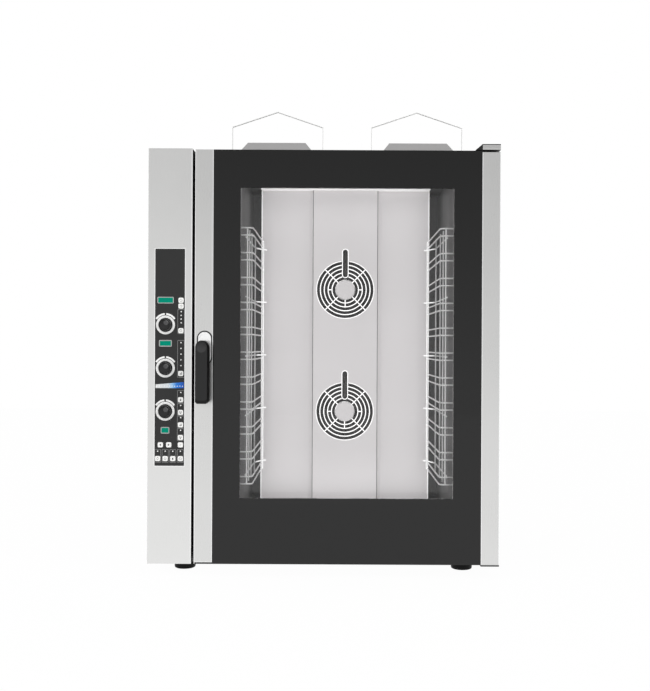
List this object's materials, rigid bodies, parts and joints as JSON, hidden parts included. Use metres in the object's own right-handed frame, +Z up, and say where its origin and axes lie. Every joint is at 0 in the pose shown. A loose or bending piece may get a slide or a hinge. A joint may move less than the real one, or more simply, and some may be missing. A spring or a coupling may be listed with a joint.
{
  "type": "combi steamer oven",
  "caption": "Free-standing restaurant oven with a right-hinged glass door, wire tray racks, slotted fan baffle, push-key control column, lever handle and two roof vents.",
  "frame": {"origin": "middle of the whole oven's footprint, on the floor under the feet", "axes": "+Z up, front of the oven toward -Y, door hinge at +X"},
  "size_m": [0.935, 0.93, 1.364],
  "materials": {
    "satin_stainless": "satin brushed stainless sheet",
    "bright_stainless": "polished stainless",
    "cavity_stainless": "satin stainless sheet",
    "blackened_steel": "black coated steel",
    "galvanised_steel": "galvanised sheet",
    "vent_steel": "dull stainless sheet",
    "mineral_wool": "soft mineral wool",
    "silicone_rubber": "matt silicone",
    "door_glass": "tempered glass with a black printed border",
    "keypad_film": "satin polyester film",
    "display_board": "circuit board with green displays",
    "black_plastic": "satin moulded plastic",
    "white_keys": "white key caps",
    "cast_aluminium": "cast",
    "heater_sheath": "oxidised sheath"
  },
  "bodies": {
    "oven_body": {"base_pan": "galvanised_steel", "foot_front_left": "black_plastic", "foot_front_right": "black_plastic", "foot_rear_left": "black_plastic", "foot_rear_right": "black_plastic", "mains_gland": "black_plastic", "side_panel_left": "satin_stainless", "side_panel_right": "satin_stainless", "rear_panel": "satin_stainless", "roof_panel": "satin_stainless", "control_fascia": "satin_stainless", "keypad_overlay": "keypad_film", "control_board": "display_board", "cavity_liner": "cavity_stainless", "fan_baffle": "cavity_stainless", "insulation_jacket": "mineral_wool", "door_gasket": "silicone_rubber", "fan_motor_lower": "cast_aluminium", "fan_motor_upper": "cast_aluminium", "heater_lower": "heater_sheath", "heater_upper": "heater_sheath", "tray_rack_left": "bright_stainless", "tray_rack_right": "bright_stainless", "water_manifold": "bright_stainless", "drain_outlet": "bright_stainless", "vent_guard_left": "bright_stainless", "vent_guard_right": "bright_stainless", "latch_keeper": "bright_stainless", "vent_left": "vent_steel", "vent_right": "vent_steel", "top_hinge_bracket": "blackened_steel", "bottom_hinge_bracket": "blackened_steel"},
    "door": {"door_outer_glass": "door_glass", "door_inner_glass": "door_glass", "door_frame": "galvanised_steel", "door_handle_profile": "satin_stainless", "door_hinge_profile": "satin_stainless", "handle_escutcheon": "bright_stainless"},
    "handle": {"handle_lever": "black_plastic", "latch_cam": "blackened_steel"},
    "knob_time": {"knob_time": "black_plastic"},
    "knob_temperature": {"knob_temperature": "black_plastic"},
    "knob_humidity": {"knob_humidity": "black_plastic"},
    "fan_lower": {"fan_lower": "cavity_stainless"},
    "fan_upper": {"fan_upper": "cavity_stainless"},
    "key_hours": {"key_hours": "white_keys"},
    "key_minutes": {"key_minutes": "white_keys"},
    "key_timer": {"key_timer": "white_keys"},
    "key_temperature": {"key_temperature": "white_keys"},
    "key_steam": {"key_steam": "white_keys"},
    "key_fan_speed": {"key_fan_speed": "white_keys"},
    "key_preheat": {"key_preheat": "white_keys"},
    "key_cool_down": {"key_cool_down": "white_keys"},
    "key_confirm": {"key_confirm": "white_keys"},
    "key_next": {"key_next": "white_keys"},
    "key_previous": {"key_previous": "white_keys"},
    "key_light": {"key_light": "white_keys"},
    "key_vent": {"key_vent": "white_keys"},
    "key_rinse": {"key_rinse": "white_keys"},
    "key_start": {"key_start": "white_keys"}
  },
  "joints": [
    {"name": "door_swing", "type": "hinge", "parent": "oven_body", "child": "door", "pos_m": [0.44325, -0.374, 0.036], "axis": [0, 0, 1], "range_deg": [0, 120]},
    {"name": "handle_turn", "type": "hinge", "parent": "door", "child": "handle", "pos_m": [-0.31593, -0.405, 0.609], "axis": [0, -1, 0], "range_deg": [0, 90]},
    {"name": "knob_time_turn", "type": "hinge", "parent": "oven_body", "child": "knob_time", "pos_m": [-0.42, -0.405, 0.6695], "axis": [0, -1, 0], "continuous": true},
    {"name": "knob_temperature_turn", "type": "hinge", "parent": "oven_body", "child": "knob_temperature", "pos_m": [-0.42, -0.405, 0.555], "axis": [0, -1, 0], "continuous": true},
    {"name": "knob_humidity_turn", "type": "hinge", "parent": "oven_body", "child": "knob_humidity", "pos_m": [-0.42, -0.405, 0.4405], "axis": [0, -1, 0], "continuous": true},
    {"name": "fan_lower_spin", "type": "hinge", "parent": "oven_body", "child": "fan_lower", "pos_m": [0.06245, 0.133, 0.4117], "axis": [0, -1, 0], "continuous": true},
    {"name": "fan_upper_spin", "type": "hinge", "parent": "oven_body", "child": "fan_upper", "pos_m": [0.06245, 0.133, 0.7913], "axis": [0, -1, 0], "continuous": true},
    {"name": "key_hours_press", "type": "slide", "parent": "oven_body", "child": "key_hours", "axis": [0, 1, 0], "range_m": [0, 0.001], "stiffness_N_per_m": 400, "springref_m": -0.001},
    {"name": "key_minutes_press", "type": "slide", "parent": "oven_body", "child": "key_minutes", "axis": [0, 1, 0], "range_m": [0, 0.001], "stiffness_N_per_m": 400, "springref_m": -0.001},
    {"name": "key_timer_press", "type": "slide", "parent": "oven_body", "child": "key_timer", "axis": [0, 1, 0], "range_m": [0, 0.001], "stiffness_N_per_m": 400, "springref_m": -0.001},
    {"name": "key_temperature_press", "type": "slide", "parent": "oven_body", "child": "key_temperature", "axis": [0, 1, 0], "range_m": [0, 0.001], "stiffness_N_per_m": 400, "springref_m": -0.001},
    {"name": "key_steam_press", "type": "slide", "parent": "oven_body", "child": "key_steam", "axis": [0, 1, 0], "range_m": [0, 0.001], "stiffness_N_per_m": 400, "springref_m": -0.001},
    {"name": "key_fan_speed_press", "type": "slide", "parent": "oven_body", "child": "key_fan_speed", "axis": [0, 1, 0], "range_m": [0, 0.001], "stiffness_N_per_m": 400, "springref_m": -0.001},
    {"name": "key_preheat_press", "type": "slide", "parent": "oven_body", "child": "key_preheat", "axis": [0, 1, 0], "range_m": [0, 0.001], "stiffness_N_per_m": 400, "springref_m": -0.001},
    {"name": "key_cool_down_press", "type": "slide", "parent": "oven_body", "child": "key_cool_down", "axis": [0, 1, 0], "range_m": [0, 0.001], "stiffness_N_per_m": 400, "springref_m": -0.001},
    {"name": "key_confirm_press", "type": "slide", "parent": "oven_body", "child": "key_confirm", "axis": [0, 1, 0], "range_m": [0, 0.001], "stiffness_N_per_m": 400, "springref_m": -0.001},
    {"name": "key_next_press", "type": "slide", "parent": "oven_body", "child": "key_next", "axis": [0, 1, 0], "range_m": [0, 0.001], "stiffness_N_per_m": 400, "springref_m": -0.001},
    {"name": "key_previous_press", "type": "slide", "parent": "oven_body", "child": "key_previous", "axis": [0, 1, 0], "range_m": [0, 0.001], "stiffness_N_per_m": 400, "springref_m": -0.001},
    {"name": "key_light_press", "type": "slide", "parent": "oven_body", "child": "key_light", "axis": [0, 1, 0], "range_m": [0, 0.001], "stiffness_N_per_m": 400, "springref_m": -0.001},
    {"name": "key_vent_press", "type": "slide", "parent": "oven_body", "child": "key_vent", "axis": [0, 1, 0], "range_m": [0, 0.001], "stiffness_N_per_m": 400, "springref_m": -0.001},
    {"name": "key_rinse_press", "type": "slide", "parent": "oven_body", "child": "key_rinse", "axis": [0, 1, 0], "range_m": [0, 0.001], "stiffness_N_per_m": 400, "springref_m": -0.001},
    {"name": "key_start_press", "type": "slide", "parent": "oven_body", "child": "key_start", "axis": [0, 1, 0], "range_m": [0, 0.001], "stiffness_N_per_m": 400, "springref_m": -0.001}
  ]
}
